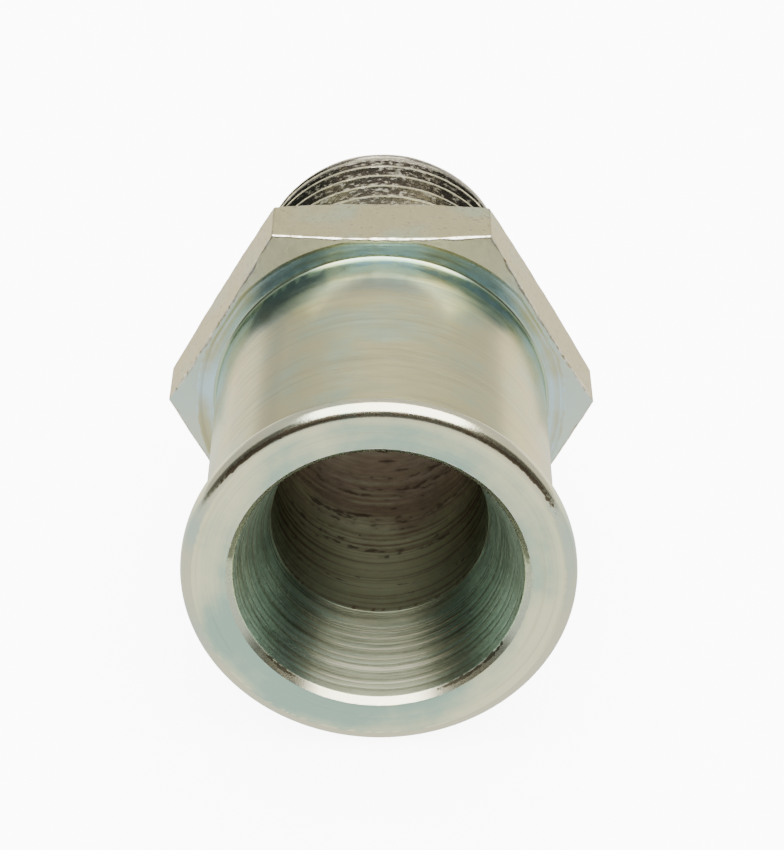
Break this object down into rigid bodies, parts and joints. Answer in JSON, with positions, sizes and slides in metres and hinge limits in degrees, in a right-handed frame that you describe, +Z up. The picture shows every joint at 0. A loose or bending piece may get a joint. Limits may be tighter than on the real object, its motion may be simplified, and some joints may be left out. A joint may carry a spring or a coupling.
{
  "type": "heater hose fitting",
  "caption": "Straight zinc-plated steel heater hose fitting: beaded hose barrel, thin hexagon and straight male thread, with a funnelled water way.",
  "frame": {"origin": "on the axis, in the face of the hexagon that seats on the port, where the thread starts", "axes": "+Y along the axis towards the threaded end, -Y towards the mouth of the hose barrel, +Z up: the fitting lies on one flat of its hexagon"},
  "size_m": [0.0248, 0.0366, 0.0214],
  "materials": {
    "zinc_plated_steel": "clear zinc plating over turned steel, satin, with a faint warm and blue-green tint and fine turning rings"
  },
  "bodies": {
    "root": {"hose_fitting": "zinc_plated_steel"}
  },
  "joints": []
}
